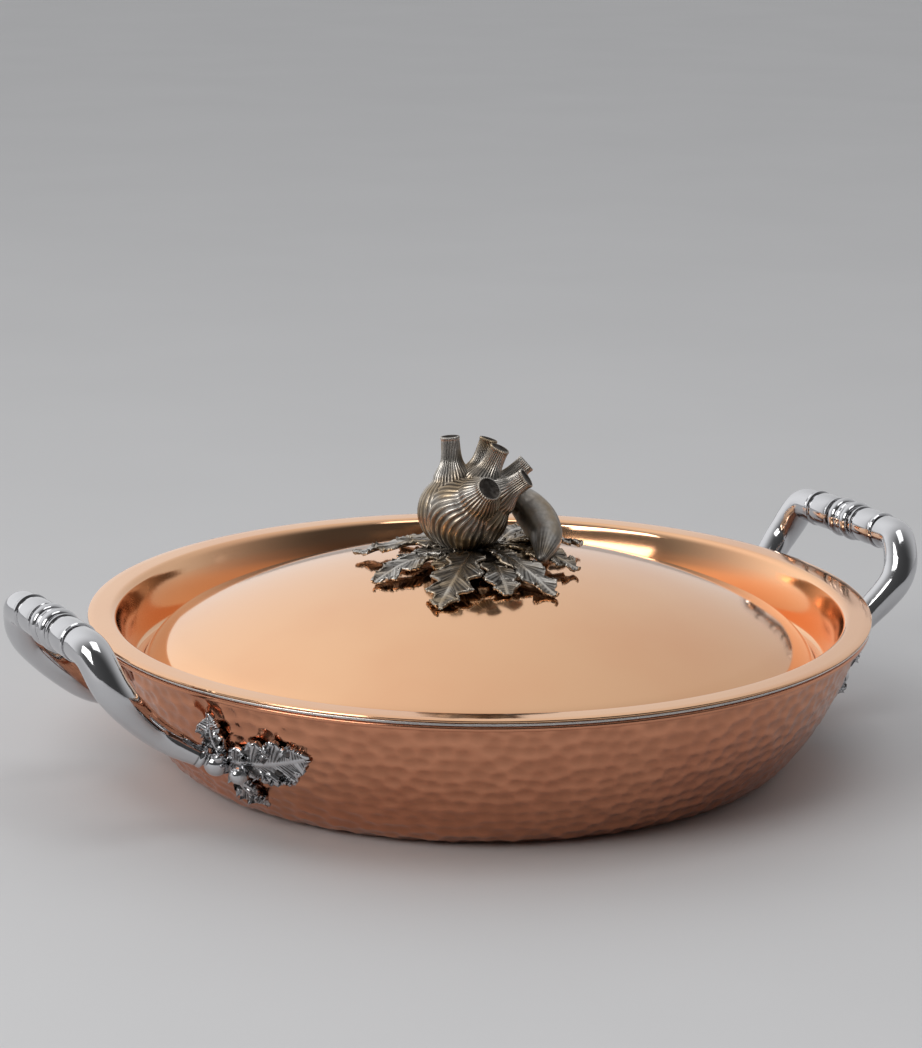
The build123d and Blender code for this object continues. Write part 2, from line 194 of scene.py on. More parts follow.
class Finish:
    """A material and its node tree, with one method that adds any node."""

    def __init__(self, name):
        self.material = bpy.data.materials.new(name)
        self.material.use_nodes = True
        self.tree = self.material.node_tree
        self.shader = next(n for n in self.tree.nodes if n.type == "BSDF_PRINCIPLED")

    def plug(self, port, value):
        """Links a value to a port, or sets it."""
        if isinstance(value, Value):
            self.tree.links.new(value.socket, port)
        elif hasattr(port.default_value, "__len__") and len(port.default_value) == 4 and len(value) == 3:
            port.default_value = (*value, 1.0)
        else:
            port.default_value = value

    def node(self, kind, settings=None, output=0, **inputs):
        """Adds a node and returns one output. An input is named with _ for a space, or i and its number."""
        made = self.tree.nodes.new(kind)
        for key, value in (settings or {}).items():
            setattr(made, key, value)
        for key, value in inputs.items():
            by_number = key[0] == "i" and key[1:].isdigit()
            port = made.inputs[int(key[1:]) if by_number else key.replace("_", " ")]
            self.plug(port, value)
        return Value(self.tree, made.outputs[output])

    def places(self, scale=(1, 1, 1)):
        """Object coordinates, stretched."""
        made = self.tree.nodes.new("ShaderNodeTexCoord")
        return self.node("ShaderNodeMapping", Vector=Value(self.tree, made.outputs["Object"]), Scale=scale)

    def noise(self, scale, detail=2.0, stretch=(1, 1, 1), rough=0.5):
        """Noise value by places on the object."""
        return self.node(
            "ShaderNodeTexNoise", Vector=self.places(stretch), Scale=scale, Detail=detail, Roughness=rough
        )

    def spread(self, value, low, high, out_low=0.0, out_high=1.0):
        """Maps a value from one range to another, held inside it."""
        return self.node("ShaderNodeMapRange", i0=value, i1=low, i2=high, i3=out_low, i4=out_high)

    def blend(self, share, first, second):
        """Mixes two colours by a share."""
        return self.node("ShaderNodeMix", {"data_type": "RGBA"}, output=2, i0=share, i6=first, i7=second)

    def relief(self):
        """The piece's own height, 0 in its hollows and 1 on its ridges."""
        return self.node("ShaderNodeAttribute", {"attribute_name": "relief"}, output=2)

    def bump(self, height, strength, distance):
        """Feeds a height to the shader's normal."""
        made = self.node("ShaderNodeBump", Height=height, Strength=strength, Distance=distance)
        self.plug(self.shader.inputs["Normal"], made)

    def surface(self, **inputs):
        """Sets or links the shader's sockets."""
        for key, value in inputs.items():
            self.plug(self.shader.inputs[key.replace("_", " ")], value)
        return self.material

    def metal(self, colour, roughness):
        """Makes the surface bare metal."""
        return self.surface(Base_Color=colour, Metallic=1.0, Roughness=roughness)


def tinted(colour, by):
    """A colour made lighter or darker."""
    return tuple(min(1.0, c * by) for c in colour)


def make_polished_copper(sizes):
    """Mirror copper with faint clouding and a fine grain bump."""
    finish = Finish("polished_copper")
    cloud = finish.noise(14.0, 3.0)
    wide = finish.noise(3.5)
    warm = tuple(sizes.copper)
    colour = finish.blend(finish.spread(wide, 0.35, 0.65), tinted(warm, 1.03), tinted(warm, 0.95))
    colour = finish.blend(finish.spread(cloud, 0.45, 0.75, 0, 0.35), colour, RED_CLOUD)
    fine = finish.noise(420.0)
    finish.bump(fine, 0.03, 0.0002)
    return finish.metal(colour, finish.spread(cloud, 0.3, 0.8, 0.07, 0.13))


def make_hammered_copper(sizes):
    """Hammered copper: lighter on the ridges, darker in the hollows, with heat colour in patches scattered by
    noise.
    """
    finish = Finish("hammered_copper")
    relief = finish.relief()
    # Base colour darkened as a painted reflection of a dark table top.
    warm = tuple(sizes.wall_copper_painted_reflection)
    cloud = finish.noise(22.0, 4.0)
    colour = finish.blend(finish.spread(relief, 0.0, 0.9), tinted(warm, 0.90), tinted(warm, 1.10))
    colour = finish.blend(finish.spread(cloud, 0.42, 0.72, 0, 0.5), colour, HEAT_STAIN)
    fine = finish.noise(260.0, 3.0)
    finish.bump(fine, 0.08, 0.0003)
    return finish.metal(colour, finish.spread(cloud, 0.3, 0.8, 0.10, 0.2))


def make_bright_lining(sizes):
    """Satin steel with turning lines."""
    finish = Finish("bright_lining")
    lines = finish.noise(90.0, stretch=(1, 1, 14))
    cloud = finish.noise(9.0)
    colour = finish.blend(finish.spread(cloud, 0.3, 0.7), LINING_LIGHT, LINING_DARK)
    finish.bump(lines, 0.05, 0.0002)
    return finish.metal(colour, finish.spread(lines, 0.3, 0.7, 0.2, 0.32))


def make_polished_steel(sizes):
    """Mirror steel of the bars and grips, with painted shade darkening the turned grooves and the arms'
    shoulder faces.
    """
    finish = Finish("polished_handle")
    relief = finish.relief()
    cloud = finish.noise(30.0, 3.0)
    steel = tuple(sizes.steel)
    colour = finish.blend(finish.spread(relief, 0.1, 0.75), GROOVE_PAINTED_SHADE, steel)
    colour = finish.blend(finish.spread(cloud, 0.4, 0.8, 0, 0.25), colour, tinted(steel, 0.82))
    finish.bump(finish.noise(300.0), 0.03, 0.0002)
    return finish.metal(colour, finish.spread(cloud, 0.3, 0.8, 0.06, 0.13))


def make_cast_foot(sizes):
    """Polished casting with black left in the veins."""
    finish = Finish("cast_foot")
    relief = finish.relief()
    grain = finish.noise(700.0, 3.0)
    mask = finish.spread(relief + (grain - 0.5) * 0.25, 0.22, 0.62)
    colour = finish.blend(mask, VEIN_BLACK, tinted(tuple(sizes.steel), 0.98))
    finish.bump(grain, 0.15, 0.0003)
    return finish.metal(colour, finish.spread(mask, 0.0, 1.0, 0.42, 0.14))


def make_aged_silver(sizes):
    """Antique silver: rubbed bright on ridges, black in hollows, bronze in patches."""
    finish = Finish("aged_silver")
    relief = finish.relief()
    grain = finish.noise(520.0, 4.0)
    patch = finish.noise(70.0, 3.0)
    mask = finish.spread(relief + (grain - 0.5) * 0.3, 0.2, 0.8)
    rubbed = finish.blend(finish.spread(patch, 0.42, 0.62), tuple(sizes.silver), AGED_BRONZE)
    colour = finish.blend(mask, AGED_BLACK, rubbed)
    finish.bump(grain, 0.2, 0.0003)
    return finish.metal(colour, finish.spread(mask, 0.0, 1.0, 0.5, 0.26))


def make_plain_steel(sizes):
    """Plain steel of stud, nut, washer and rivets."""
    finish = Finish("plain_steel")
    cloud = finish.noise(160.0, 3.0)
    colour = finish.blend(finish.spread(cloud, 0.3, 0.7), FITTING_LIGHT, FITTING_DARK)
    finish.bump(cloud, 0.1, 0.0003)
    return finish.metal(colour, finish.spread(cloud, 0.3, 0.7, 0.28, 0.42))


def make_floor(sizes):
    """Pale matt table top."""
    finish = Finish("pale_floor")
    cloud = finish.noise(6.0, 3.0)
    pale = tuple(sizes.floor)
    colour = finish.blend(finish.spread(cloud, 0.3, 0.7), pale, tinted(pale, 0.97))
    return finish.surface(Base_Color=colour, Roughness=0.75)


FINISHES = {}


def finish_of(name):
    """The material of that name, made once."""
    if name not in FINISHES:
        makers = {
            "polished_copper": make_polished_copper,
            "hammered_copper": make_hammered_copper,
            "bright_lining": make_bright_lining,
            "polished_handle": make_polished_steel,
            "cast_foot": make_cast_foot,
            "aged_silver": make_aged_silver,
            "plain_steel": make_plain_steel,
            "pale_floor": make_floor,
        }
        FINISHES[name] = makers[name](bpy.context.scene.pan_sizes)
    return FINISHES[name]


def deselect():
    """Nothing selected and nothing in edit mode."""
    if bpy.context.object and bpy.context.object.mode != "OBJECT":
        bpy.ops.object.mode_set(mode="OBJECT")
    bpy.ops.object.select_all(action="DESELECT")


def select_only(*pieces):
    """Selects these pieces alone, the first of them active."""
    deselect()
    for piece in pieces:
        piece.select_set(True)
    bpy.context.view_layer.objects.active = pieces[0]


@contextmanager
def editing():
    """Edit mode, with all of the active piece selected."""
    bpy.ops.object.mode_set(mode="EDIT")
    bpy.ops.mesh.select_all(action="SELECT")
    yield
    bpy.ops.object.mode_set(mode="OBJECT")


def close_skin():
    """Merges the points that meet and turns every face outwards."""
    bpy.ops.mesh.select_all(action="SELECT")
    bpy.ops.mesh.remove_doubles(threshold=0.002 * MM)
    bpy.ops.mesh.normals_make_consistent(inside=False)


def settle(piece, name, finish, body, nodes=()):
    """Names a finished piece, gives it its finish, and lets it ride on its body in place of its solids."""
    piece.name = name
    piece.data.name = name
    piece.data.materials.clear()
    piece.data.materials.append(finish_of(finish))
    select_only(piece)
    bpy.ops.object.transform_apply(location=True, rotation=True, scale=True)
    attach(piece, body)
    if nodes:
        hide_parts(*nodes)


def points_of(piece):
    """Vertex places as rows."""
    rows = np.empty(len(piece.data.vertices) * 3)
    piece.data.vertices.foreach_get("co", rows)
    return rows.reshape(-1, 3)


def put_points(piece, rows):
    """Writes vertex places."""
    piece.data.vertices.foreach_set("co", np.asarray(rows, dtype=float).ravel())
    piece.data.update()


def put_relief(piece, values):
    """Writes the height that the finishes read, from 0 to 1."""
    layer = piece.data.attributes.get("relief") or piece.data.attributes.new("relief", "FLOAT", "POINT")
    layer.data.foreach_set("value", np.clip(np.asarray(values, dtype=np.float32), 0, 1))


def arc_points(centre, radius, start, stop, count):
    """Places along an arc, by angles from straight up towards the outside."""
    angles = np.linspace(start, stop, count)
    return [(centre[0] + radius * sin(a), centre[1] + radius * cos(a)) for a in angles]


def even(points, gap):
    """Divides the straight stretches of a half section so that none is longer than the gap."""
    rows = [points[0]]
    for (r0, z0), (r1, z1) in zip(points, points[1:]):
        count = max(1, round(hypot(r1 - r0, z1 - z0) / gap))
        rows += [(r0 + (r1 - r0) * i / count, z0 + (z1 - z0) * i / count) for i in range(1, count + 1)]
    return rows


def spun(profile, steps):
    """Draws a half section by extruding a point, then spins it round Z into a closed skin. Millimetres in."""
    rows = [Vector((r * MM, 0, z * MM)) for r, z in profile]
    deselect()
    bpy.ops.mesh.primitive_plane_add(size=MM)
    with editing():
        bpy.ops.mesh.merge(type="CENTER")
        bpy.ops.transform.translate(value=rows[0])
        for low, high in zip(rows, rows[1:]):
            bpy.ops.mesh.extrude_region_move(TRANSFORM_OT_translate={"value": high - low})
        bpy.ops.mesh.select_all(action="SELECT")
        bpy.ops.mesh.spin(steps=steps, angle=FULL_TURN, center=(0, 0, 0), axis=(0, 0, 1))
        close_skin()
    bpy.ops.object.shade_smooth_by_angle(angle=radians(32))
    return bpy.context.object


def sheet_of(across, along, place, closed=False):
    """A subdivided grid whose places come from a function of u along and v across, each from 0 to 1."""
    deselect()
    bpy.ops.mesh.primitive_grid_add(x_subdivisions=along, y_subdivisions=across, size=2)
    piece = bpy.context.object
    flat = points_of(piece)
    rows, relief = place((flat[:, 0] + 1) / 2, (flat[:, 1] + 1) / 2)
    put_points(piece, rows * MM)
    put_relief(piece, relief)
    if closed:
        with editing():
            close_skin()
    bpy.ops.object.shade_smooth()
    return piece


def eased(table, share):
    """Rows that pass smoothly through a table's own, evenly spaced over shares from 0 to 1."""
    table = np.asarray(table, dtype=float)
    ends = np.concatenate([[2 * table[0] - table[1]], table, [2 * table[-1] - table[-2]]])
    places = np.clip(share, 0, 1) * (len(table) - 1)
    low = np.minimum(places.astype(int), len(table) - 2)
    t = (places - low).reshape((-1,) + (1,) * (table.ndim - 1))
    a, b, c, d = (ends[low + i] for i in range(4))
    return 0.5 * (2 * b + (c - a) * t + (2 * a - 5 * b + 4 * c - d) * t**2 + (3 * b - a - 3 * c + d) * t**3)


def smooth_path(points):
    """Places and looks along a smooth curve through the points."""
    rows = eased(points, np.linspace(0, 1, PATH_STEPS))
    looks = np.gradient(rows, axis=0)
    return rows, looks / np.linalg.norm(looks, axis=1)[:, None]


def bar_of(points, radius_at, sides, rings, ribs):
    """A round bar along a path: radius_at gives radii by distance along it, ribs their factors and relief."""
    rows, looks = smooth_path(points)
    along = np.concatenate([[0], np.cumsum(np.linalg.norm(np.diff(rows, axis=0), axis=1))])
    side = np.zeros_like(rows)
    first = np.cross(looks[0], (0, 0, 1) if abs(looks[0][2]) < 0.9 else (0, 1, 0))
    side[0] = first / np.linalg.norm(first)
    for i in range(1, len(rows)):
        turn = side[i - 1] - looks[i] * np.dot(side[i - 1], looks[i])
        side[i] = turn / np.linalg.norm(turn)
    up = np.cross(looks, side)

    def place(u, v):
        s = u * along[-1]
        middle, across, above = (
            np.stack([np.interp(s, along, table[:, k]) for k in range(3)], axis=1)
            for table in (rows, side, up)
        )
        angle = v * FULL_TURN
        factor, relief = ribs(u, angle)
        out = across * np.cos(angle)[:, None] + above * np.sin(angle)[:, None]
        return middle + out * (radius_at(s, along[-1]) * factor)[:, None], relief

    return sheet_of(sides, rings, place, closed=True)


def joined(pieces):
    """Joins several pieces into the first."""
    select_only(*pieces)
    bpy.ops.object.join()
    return bpy.context.object


def thickened(piece, thickness):
    """Gives a sheet its thickness, away from its outer face."""
    select_only(piece)
    solid = piece.modifiers.new("thickness", "SOLIDIFY")
    solid.thickness = thickness * MM
    solid.offset = -1.0
    bpy.ops.object.modifier_apply(modifier=solid.name)
    return piece


def moved(piece, matrix):
    """Moves a piece's points by a matrix."""
    piece.data.transform(matrix)
    if matrix.determinant() < 0:
        select_only(piece)
        with editing():
            bpy.ops.mesh.flip_normals()
    piece.data.update()
    return piece


def copy_of(piece):
    """A copy with its own mesh."""
    twin = piece.copy()
    twin.data = piece.data.copy()
    bpy.context.collection.objects.link(twin)
    return twin


def four_feet():
    """The feet's names, with the matrices that carry the right back one to each."""
    flip = Matrix.Scale(-1, 4, (0, 1, 0))
    half_turn = Matrix.Rotation(pi, 4, "Z")
    matrices = (Matrix(), flip, half_turn, half_turn @ flip)
    return dict(zip(("right_back", "right_front", "left_front", "left_back"), matrices))


def crossing(centre_a, radius_a, centre_b, radius_b):
    """The crossing of two circles that lies nearer the axis."""
    dx, dz = centre_b[0] - centre_a[0], centre_b[1] - centre_a[1]
    gap = hypot(dx, dz)
    along = (radius_a**2 - radius_b**2 + gap**2) / (2 * gap)
    off = sqrt(radius_a**2 - along**2)
    return min(
        (centre_a[0] + (along * dx + s * off * dz) / gap, centre_a[1] + (along * dz - s * off * dx) / gap)
        for s in (-1, 1)
    )


# Rows of the flat base lie this many wall rows apart, and a bar's path has this many steps.
BASE_GAPS = 10
PATH_STEPS = 400
CORNER_CENTRE = (BASE_RADIUS, CORNER_RADIUS)
WALL_CENTRE = crossing((WALL_TOP_RADIUS, PAN_HEIGHT), WALL_RADIUS, CORNER_CENTRE, WALL_RADIUS - CORNER_RADIUS)


def wall_at(z, inset=0.0):
    """Radius of the wall at a height."""
    return WALL_CENTRE[0] + sqrt((WALL_RADIUS - inset) ** 2 - (WALL_CENTRE[1] - z) ** 2)


def bowl_profile(inset, top, gap):
    """Half section of the bowl at an inset, from the middle of the base to a height."""
    join = atan2(CORNER_CENTRE[0] - WALL_CENTRE[0], CORNER_CENTRE[1] - WALL_CENTRE[1])
    end = atan2(wall_at(top, inset) - WALL_CENTRE[0], top - WALL_CENTRE[1])
    corner = CORNER_RADIUS - inset
    reach = WALL_RADIUS - inset
    corner_count = max(4, round(corner * (pi - join) / gap))
    wall_count = max(6, round(reach * (join - end) / gap))
    rows = even([(0, inset), (BASE_RADIUS, inset)], gap * BASE_GAPS)
    rows += arc_points(CORNER_CENTRE, corner, pi, join, corner_count)[1:]
    rows += arc_points(WALL_CENTRE, reach, join, end, wall_count)[1:]
    return rows


def wall_place(angle, rise, out):
    """Places off the wall: angle round it, rise along its slope from the foot's height, distance out."""
    start = np.arctan2(wall_at(FOOT_HEIGHT) - WALL_CENTRE[0], FOOT_HEIGHT - WALL_CENTRE[1])
    lean = start - np.asarray(rise) / WALL_RADIUS
    reach = WALL_RADIUS + np.asarray(out)
    radius = WALL_CENTRE[0] + reach * np.sin(lean)
    height = WALL_CENTRE[1] + reach * np.cos(lean)
    return np.stack([radius * np.cos(angle), radius * np.sin(angle), height], axis=-1)


def lid_profile(depth, gap):
    """Half section of the lid at a depth under its polished face, from crown to flange edge."""
    cap = (0, DOME_TOP - DOME_RADIUS)
    lean = asin(DOME_REACH / DOME_RADIUS)
    inner = DOME_RADIUS - SHOULDER_RADIUS
    shoulder = (inner * sin(lean), cap[1] + inner * cos(lean))
    groove_z = RIM_Z - GROOVE_DEPTH + GROOVE_RADIUS
    side = acos((groove_z - shoulder[1]) / (SHOULDER_RADIUS + GROOVE_RADIUS))
    groove = (shoulder[0] + (SHOULDER_RADIUS + GROOVE_RADIUS) * sin(side), groove_z)
    turn = (LID_RADIUS - FLANGE_WIDTH, RIM_Z - FLANGE_TURN)
    dx, dz = turn[0] - groove[0], turn[1] - groove[1]
    look = acos((FLANGE_TURN + GROOVE_RADIUS) / hypot(dx, dz)) - atan2(dz, dx) - pi / 2
    rows = arc_points(cap, DOME_RADIUS - depth, 0, lean, round(DOME_REACH / gap))
    rows += arc_points(shoulder, SHOULDER_RADIUS - depth, lean, side, 22)[1:]
    rows += arc_points(groove, GROOVE_RADIUS + depth, side + pi, look + pi, 14)[1:]
    wall_top = arc_points(turn, FLANGE_TURN - depth, look, 0, 9)
    rows += even([rows[-1], wall_top[0]], 2.0)[1:]
    rows += wall_top[1:]
    return rows + even([wall_top[-1], (LID_RADIUS - 0.6, RIM_Z - depth)], 2.2)[1:]


# Hammer marks, as shares of a mark or row: stray, reach, width and strength, and how high the ridges stand.
ON_ARC = 0.05
MARK_STRAY = 0.3
MARK_REACH = 1.7
MARK_WIDTH = 0.62
BLOW_RANGE = (0.75, 1.35)
RIDGE = 1.2
UNTOUCHED = 0.85
BARE_RELIEF = 0.6
# Millimetres over which the marks fade out under the lip and on the base's edge.
TOP_FADE = 2.0
BASE_FADE = 6.0


def hammered(piece, sizes):
    """Presses rows of shallow marks, no two alike, into the outside of the wall."""
    rows = points_of(piece) / MM
    radius = np.hypot(rows[:, 0], rows[:, 1])

    def seen_from(centre):
        beyond, above = radius - centre[0], rows[:, 2] - centre[1]
        return np.arctan2(beyond, above), np.hypot(beyond, above)

    lean, wall_reach = seen_from(WALL_CENTRE)
    turned, corner_reach = seen_from(CORNER_CENTRE)
    join = atan2(CORNER_CENTRE[0] - WALL_CENTRE[0], CORNER_CENTRE[1] - WALL_CENTRE[1])
    on_wall = (np.abs(wall_reach - WALL_RADIUS) < ON_ARC) & (lean <= join + 1e-3)
    on_corner = (np.abs(corner_reach - CORNER_RADIUS) < ON_ARC) & (turned > join) & ~on_wall
    outside = on_wall | on_corner
    climb = np.where(on_wall, -(lean - join) * WALL_RADIUS, -(turned - join) * CORNER_RADIUS)
    angle = np.arctan2(rows[:, 1], rows[:, 0])
    rng = np.random.default_rng(7)
    best = np.full(len(rows), np.inf)
    low, high = climb[outside].min(), climb[outside].max()
    first = int(np.floor(low / sizes.hammer_row)) - 1
    last = int(np.ceil(high / sizes.hammer_row)) + 1
    for row in range(first, last + 1):
        height = (row + 0.5) * sizes.hammer_row
        middle, reach = (WALL_CENTRE, WALL_RADIUS) if height > 0 else (CORNER_CENTRE, CORNER_RADIUS)
        ring = middle[0] + reach * sin(join - height / reach)
        count = round(FULL_TURN * ring / sizes.hammer_width)
        start = rng.uniform(0, FULL_TURN)
        slips = rng.uniform(-MARK_STRAY, MARK_STRAY, count)
        lifts = rng.uniform(-MARK_STRAY, MARK_STRAY, count) * sizes.hammer_row
        blows = rng.uniform(*BLOW_RANGE, count)
        near = np.abs(climb - height) < MARK_REACH * sizes.hammer_row
        share = ((angle[near] - start) / FULL_TURN % 1.0) * count
        for step in (-1, 0, 1):
            mark = (np.floor(share).astype(int) + step) % count
            centre = np.floor(share) + step + 0.5 + slips[mark]
            across = (share - centre) * FULL_TURN * radius[near] / count
            above = (climb[near] - height - lifts[mark]) * sizes.hammer_width / sizes.hammer_row
            best[near] = np.minimum(best[near], (across**2 + above**2) * blows[mark])
    marked = outside & np.isfinite(best)
    shape = np.clip(best / (sizes.hammer_width * MARK_WIDTH) ** 2, 0, RIDGE)
    fade = np.clip((high - climb) / TOP_FADE, 0, 1) * np.clip((climb - low) / BASE_FADE, 0, 1)
    depth = np.where(marked, sizes.hammer_depth * (shape - UNTOUCHED) * fade, 0)
    tilt = np.where(on_wall, lean, turned)
    rows[:, :2] += rows[:, :2] * (np.sin(tilt) * depth / np.maximum(radius, 1e-6))[:, None]
    rows[:, 2] += np.cos(tilt) * depth
    put_points(piece, rows * MM)
    put_relief(piece, np.where(marked, shape, BARE_RELIEF))


class PAN_OT_body(bpy.types.Operator):
    """Adds the hammered copper bowl and the lining bonded inside it."""

    bl_idname = "pan.body"
    bl_label = "Pan body"

    def execute(self, context):
        sizes = context.scene.pan_sizes
        top = PAN_HEIGHT - LINING
        under = PAN_HEIGHT - LIP_THICKNESS
        turn = LIP_ROUNDING
        outside = bowl_profile(0, under - 0.8, 0.92)
        lip = [(WALL_TOP_RADIUS + 0.35, under - 0.1), (LIP_RADIUS - turn, under)]
        lip += arc_points((LIP_RADIUS - turn, under + turn), turn, pi, pi / 2, 5)[1:]
        lip += arc_points((LIP_RADIUS - turn, top - turn), turn, pi / 2, 0, 5)
        inside = bowl_profile(COPPER, top, 6.0)[::-1]
        shell = spun(outside + lip + inside, sizes.wall_steps)
        hammered(shell, sizes)
        settle(shell, "pan_copper_bowl", "hammered_copper", "pan", ["pan_shell"])

        cover = [(wall_at(top, COPPER), top), (LIP_RADIUS - 1.0, top), (LIP_RADIUS - 0.8, top + 0.2)]
        cover += [(LIP_RADIUS - 1.1, PAN_HEIGHT), (wall_at(PAN_HEIGHT, PAN_SHEET) + 0.6, PAN_HEIGHT)]
        cover += [(wall_at(PAN_HEIGHT - 0.6, PAN_SHEET), PAN_HEIGHT - 0.6)]
        outer = bowl_profile(COPPER, top, 3.0)[:-1]
        inner = bowl_profile(PAN_SHEET, PAN_HEIGHT - 1.2, 3.0)[::-1]
        skin = spun(outer + cover + inner, sizes.lid_steps)
        put_relief(skin, np.full(len(skin.data.vertices), 0.8))
        settle(skin, "pan_bright_lining", "bright_lining", "pan", ["pan_lining"])
        return {"FINISHED"}


class PAN_OT_lid(bpy.types.Operator):
    """Adds the polished lid and its lining."""

    bl_idname = "pan.lid"
    bl_label = "Lid"

    def execute(self, context):
        sizes = context.scene.pan_sizes
        for name, finish, upper, lower, node in (
            ("lid_polished_dome", "polished_copper", 0.0, LID_COPPER, "lid_shell"),
            ("lid_bright_lining", "bright_lining", LID_COPPER, LID_SHEET, "lid_lining"),
        ):
            top, bottom = lid_profile(upper, 3.0), lid_profile(lower, 3.0)
            edge = [(LID_RADIUS - 0.12, RIM_Z - upper - 0.18), (LID_RADIUS, (RIM_Z * 2 - upper - lower) / 2)]
            edge += [(LID_RADIUS - 0.12, RIM_Z - lower + 0.18)]
            bore = STUD_RADIUS + 0.05
            top = [(bore, top[0][1])] + [p for p in top if p[0] > bore]
            bottom = [(bore, bottom[0][1])] + [p for p in bottom if p[0] > bore]
            sheet = spun(top + edge + bottom[::-1] + [top[0]], sizes.lid_steps)
            put_relief(sheet, np.full(len(sheet.data.vertices), 0.8))
            settle(sheet, name, finish, "lid", [node])
        return {"FINISHED"}


GRIP_CENTRE = (LID_RADIUS + GRIP_OUT, 0.0, RIM_Z + GRIP_UP)

# The arm's taper by shares of its length, its shoulder's face, and the ferrule ring and neck over the ball.
ARM_SHARES = [0, 0.25, 0.5, 0.75, 0.93]
ARM_RADII = [6.7, 6.7, 5.9, 4.8, 3.3]
SHOULDER_FACE = 5.9
FERRULE_GAP = 1.3
FERRULE_HALF = 1.2
FERRULE_RISE = 0.9
NECK_RADIUS = 2.6


def ferrule_at(length):
    """Where the ferrule ring sits along an arm."""
    return length - 2 * BALL_RADIUS - FERRULE_GAP


def arm_path():
    """The right bow's +Y arm, from the grip to the ball on the wall."""
    x, _, z = GRIP_CENTRE
    end = GRIP_LENGTH / 2 + 0.04
    ball = wall_place(radians(FOOT_ANGLE), 0.0, BALL_RADIUS * 0.8)
    return [
        (x, end, z),
        (x - ELBOW_IN * 0.1, end + ELBOW_OUT * 0.62, z - ELBOW_DROP * 0.12),
        (x - ELBOW_IN, end + ELBOW_OUT, z - ELBOW_DROP),
        (x - (x - ball[0]) * 0.55, end + ELBOW_OUT * 0.86, z - (z - ball[2]) * 0.74),
        tuple(ball),
    ]


def arm_radius(s, length):
    """Radius along the arm: round shoulder, long taper, ferrule ring, neck and ball."""
    bar = np.interp(s / length, ARM_SHARES, ARM_RADII)
    shoulder = np.sqrt(np.clip(1 - (1 - np.clip(s, 0, 1)) ** 2, 0, 1))
    bar = np.where(s < 1.0, SHOULDER_FACE + (ARM_RADII[0] - SHOULDER_FACE) * shoulder, bar)
    off = s - ferrule_at(length)
    ring = ARM_RADII[-1] + FERRULE_RISE * np.sqrt(np.clip(1 - (off / FERRULE_HALF) ** 2, 0, 1))
    bar = np.where(np.abs(off) < FERRULE_HALF, ring, bar)
    middle = length - BALL_RADIUS
    ball = np.sqrt(np.clip(BALL_RADIUS**2 - (s - middle) ** 2, 0, None))
    return np.where(off > FERRULE_HALF, np.maximum(ball, np.where(s < middle, NECK_RADIUS, 0)), bar)


def make_arm():
    """One arm with its ferrule ring and ball."""
    path = [np.array(p) for p in arm_path()]
    look = (path[-1] - path[-2]) / np.linalg.norm(path[-1] - path[-2])
    path.append(path[-1] + look * BALL_RADIUS)
    rows, _ = smooth_path(path)
    length = np.linalg.norm(np.diff(rows, axis=0), axis=1).sum()

    def ribs(u, angle):
        s = u * length
        off = s - ferrule_at(length)
        groove = np.exp(-(((off - 1.4) / 0.5) ** 2)) + np.exp(-(((off + 1.4) / 0.4) ** 2))
        # Relief drops in the grooves either side of the ferrule ring and on the shoulder face against the
        # grip, as painted shade in the handle finish.
        return np.ones_like(u), 0.95 - 0.8 * np.clip(groove + (s < 0.35) * 0.8, 0, 1)

    arm = bar_of(path, arm_radius, 40, 190, ribs)
    close_end(arm)
    return arm


def close_end(piece):
    """Closes the open ring of a bar."""
    select_only(piece)
    with editing():
        bpy.ops.mesh.select_mode(type="EDGE")
        bpy.ops.mesh.select_all(action="DESELECT")
        bpy.ops.mesh.select_non_manifold(extend=False)
        bpy.ops.mesh.edge_face_add()
        bpy.ops.mesh.select_all(action="SELECT")
        bpy.ops.mesh.normals_make_consistent(inside=False)
        bpy.ops.mesh.select_mode(type="VERT")


def grip_profile():
    """Half section of the turned grip from its middle to its end ring, as radius and distance."""
    r = GRIP_RADIUS
    end = GRIP_LENGTH / 2

    def swell(low, high, first, last, short, count):
        turns = np.linspace(short, pi - short, count)
        return [(low + (high - low) * sin(a), first + (last - first) * (1 - cos(a)) / 2) for a in turns]

    ring = [(r - 0.25, 0.0), (r, 0.35), (r, 1.35), (r - 0.25, 1.6), (r - 0.7, 1.7)]
    bead = swell(r - 0.5, BEAD_RADIUS, 1.75, 6.05, 0.1, 13)
    neck = [(r - 0.9, 6.15), (r - 0.8, 6.3), (r - 0.8, 7.6), (r - 0.9, 7.75)]
    collar = [(r - 0.1, 7.85), (r + 0.2, 8.1), (r + 0.2, 8.8), (r - 0.1, 9.05), (r - 0.8, 9.15)]
    barrel = swell(r - 0.6, r + 0.15, 9.3, end - 2.0, 0.12, 17)
    cap = [(r - 0.75, end - 1.9), (r - 0.1, end - 1.7), (r + 0.3, end - 1.4), (r + 0.3, end - 0.4), (r, end)]
    return ring + bead + neck + collar + barrel + cap


